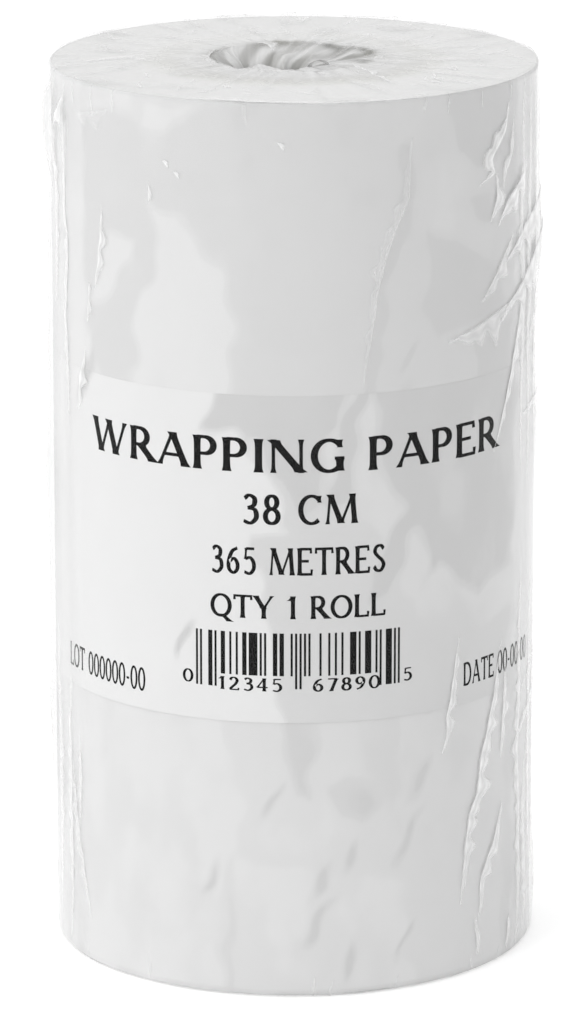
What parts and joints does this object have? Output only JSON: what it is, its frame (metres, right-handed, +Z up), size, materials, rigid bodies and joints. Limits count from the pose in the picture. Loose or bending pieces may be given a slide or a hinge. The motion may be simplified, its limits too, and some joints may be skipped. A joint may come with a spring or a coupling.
{
  "type": "wrapped roll of paper",
  "caption": "Roll of white wrapping paper on a chipboard core, with a printed paper label round it, shrink-wrapped in clear film and standing on end.",
  "frame": {"origin": "centre of the lower end, on the surface that the roll stands on", "axes": "+Z up along the roll's axis; -Y towards the middle of the label; +X to the label's right"},
  "size_m": [0.208, 0.208, 0.3826],
  "materials": {
    "chipboard": "matte",
    "paper": "matte",
    "label": "matte",
    "label_print": "matte",
    "tape": "satin",
    "film": "gloss"
  },
  "bodies": {
    "root": {"core_inner_ply": "chipboard", "core_middle_ply": "chipboard", "core_outer_ply": "chipboard", "core_start_tape": "tape", "paper_web": "paper", "tail_tape_upper": "tape", "tail_tape_lower": "tape", "label_sheet": "label", "shrink_film": "film"}
  },
  "joints": []
}
